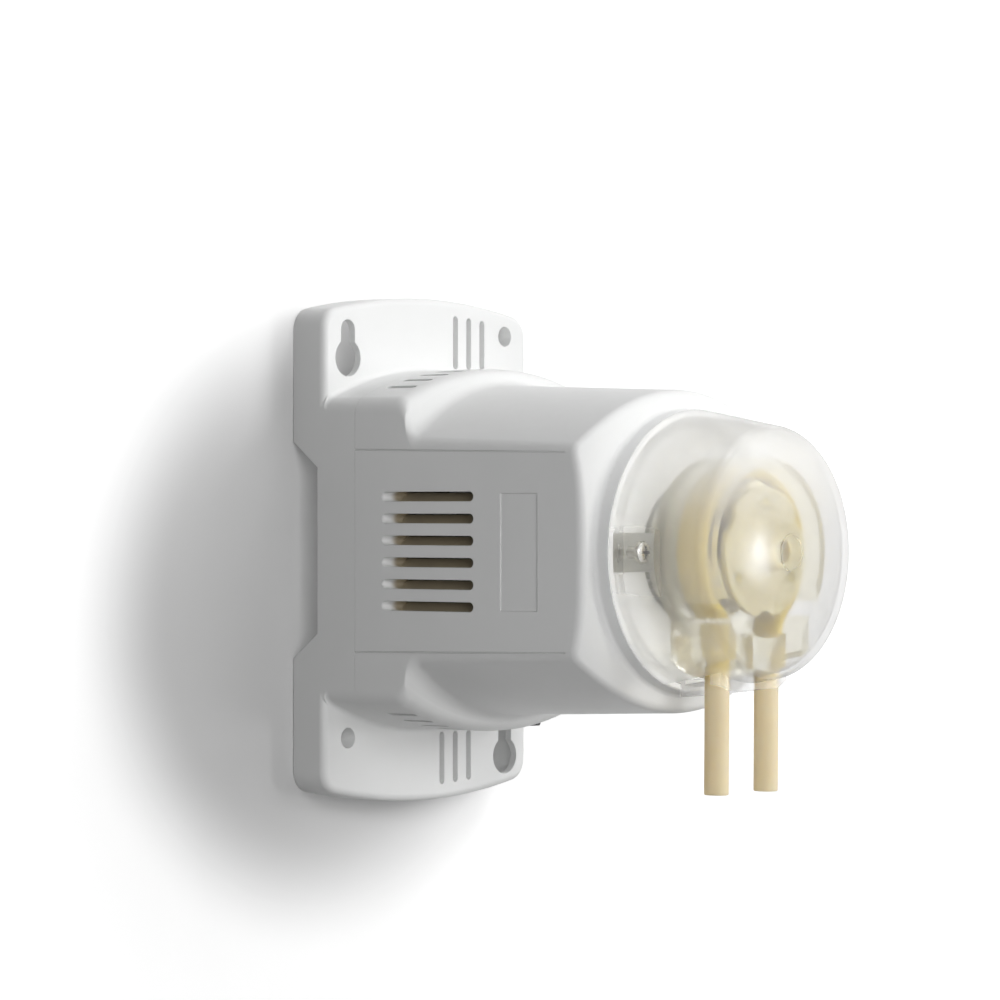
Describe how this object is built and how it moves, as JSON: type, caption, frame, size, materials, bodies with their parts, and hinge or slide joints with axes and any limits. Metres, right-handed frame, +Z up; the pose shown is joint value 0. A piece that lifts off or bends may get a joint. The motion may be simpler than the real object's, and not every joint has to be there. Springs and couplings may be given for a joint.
{
  "type": "wall-mounted peristaltic pump",
  "caption": "Wall-mounted peristaltic dosing pump: geared motor in a vented white housing, roller head under a clear push-fit cover, tube ends leaving downwards.",
  "frame": {"origin": "centre of the back, on the wall plane, midway between the top and bottom edges of the plate", "axes": "+X right as seen from the front, +Y into the wall, +Z up"},
  "size_m": [0.084, 0.1345, 0.137],
  "materials": {
    "white_plastic": "fine satin moulded",
    "clear_cover": "clear, slightly hazy",
    "clear_head": "clear moulded",
    "silicone_tube": "satin translucent",
    "rotor_plastic": "satin",
    "roller_plastic": "satin",
    "zinc_screw": "bright zinc",
    "steel_screw": "bright steel",
    "shaft_steel": "ground",
    "zinc_plate": "zinc plated",
    "lamination": "laminated, oiled",
    "rotor_metal": "turned",
    "brass": "machined",
    "bronze": "sintered",
    "gear_nylon": "satin",
    "bobbin_plastic": "satin",
    "coil_tape": "glossy tape",
    "terminal_plastic": "satin",
    "black_rubber": "matt"
  },
  "bodies": {
    "housing": {"rear_housing": "white_plastic", "front_housing": "white_plastic", "housing_screws": "zinc_screw", "cable_grommet": "black_rubber", "terminal_block": "terminal_plastic", "terminal_screws": "zinc_screw", "motor_stack": "lamination", "coil_bobbin": "bobbin_plastic", "motor_coil": "coil_tape", "motor_rear_bracket": "zinc_plate", "motor_front_bracket": "zinc_plate", "motor_bushes": "bronze", "motor_bolts": "zinc_screw", "motor_spacers": "zinc_plate", "gearbox_rear_plate": "zinc_plate", "gearbox_front_plate": "zinc_plate", "gearbox_spacers": "zinc_plate", "gearbox_screws": "zinc_screw", "gear_axles": "shaft_steel", "gear_washers": "bobbin_plastic", "output_bushes": "bronze", "head_body": "clear_head", "head_screws": "steel_screw", "shaft_seal": "black_rubber", "pump_tube": "silicone_tube"},
    "cover": {"pump_cover": "clear_cover"},
    "pump_rotor": {"output_gear": "brass", "output_shaft": "shaft_steel", "retaining_clip": "shaft_steel", "rotor_rear_disc": "rotor_plastic", "rotor_front_disc": "rotor_plastic", "roller_pins": "shaft_steel"},
    "roller_1": {"roller_1": "roller_plastic"},
    "roller_2": {"roller_2": "roller_plastic"},
    "roller_3": {"roller_3": "roller_plastic"},
    "second_gear": {"second_gear": "gear_nylon"},
    "first_gear": {"first_gear": "gear_nylon"},
    "motor_rotor": {"motor_rotor": "rotor_metal", "motor_shaft": "shaft_steel", "motor_pinion": "brass"}
  },
  "joints": [
    {"name": "cover_pull", "type": "slide", "parent": "housing", "child": "cover", "axis": [0, -1, 0], "range_m": [0, 0.036]},
    {"name": "rotor_spin", "type": "hinge", "parent": "housing", "child": "pump_rotor", "pos_m": [0, -0.1182, 0], "axis": [0, -1, 0], "continuous": true},
    {"name": "second_gear_spin", "type": "hinge", "parent": "housing", "child": "second_gear", "pos_m": [-0.01527, -0.086, -0.01527], "axis": [0, -1, 0], "continuous": true},
    {"name": "first_gear_spin", "type": "hinge", "parent": "housing", "child": "first_gear", "pos_m": [0.00164, -0.082, -0.02143], "axis": [0, -1, 0], "continuous": true},
    {"name": "motor_spin", "type": "hinge", "parent": "housing", "child": "motor_rotor", "pos_m": [-0.01109, -0.06, -0.0087], "axis": [0, -1, 0], "continuous": true},
    {"name": "roller_1_spin", "type": "hinge", "parent": "pump_rotor", "child": "roller_1", "pos_m": [0, -0.1182, 0.0129], "axis": [0, -1, 0], "continuous": true},
    {"name": "roller_2_spin", "type": "hinge", "parent": "pump_rotor", "child": "roller_2", "pos_m": [-0.01117, -0.1182, -0.00645], "axis": [0, -1, 0], "continuous": true},
    {"name": "roller_3_spin", "type": "hinge", "parent": "pump_rotor", "child": "roller_3", "pos_m": [0.01117, -0.1182, -0.00645], "axis": [0, -1, 0], "continuous": true}
  ],
  "couplings": [
    {"joint": "second_gear_spin", "follows": "rotor_spin", "ratio": -3.5},
    {"joint": "first_gear_spin", "follows": "rotor_spin", "ratio": 14},
    {"joint": "motor_spin", "follows": "rotor_spin", "ratio": -70},
    {"joint": "roller_1_spin", "follows": "rotor_spin", "ratio": -3.3455},
    {"joint": "roller_2_spin", "follows": "rotor_spin", "ratio": -3.3455},
    {"joint": "roller_3_spin", "follows": "rotor_spin", "ratio": -3.3455}
  ]
}
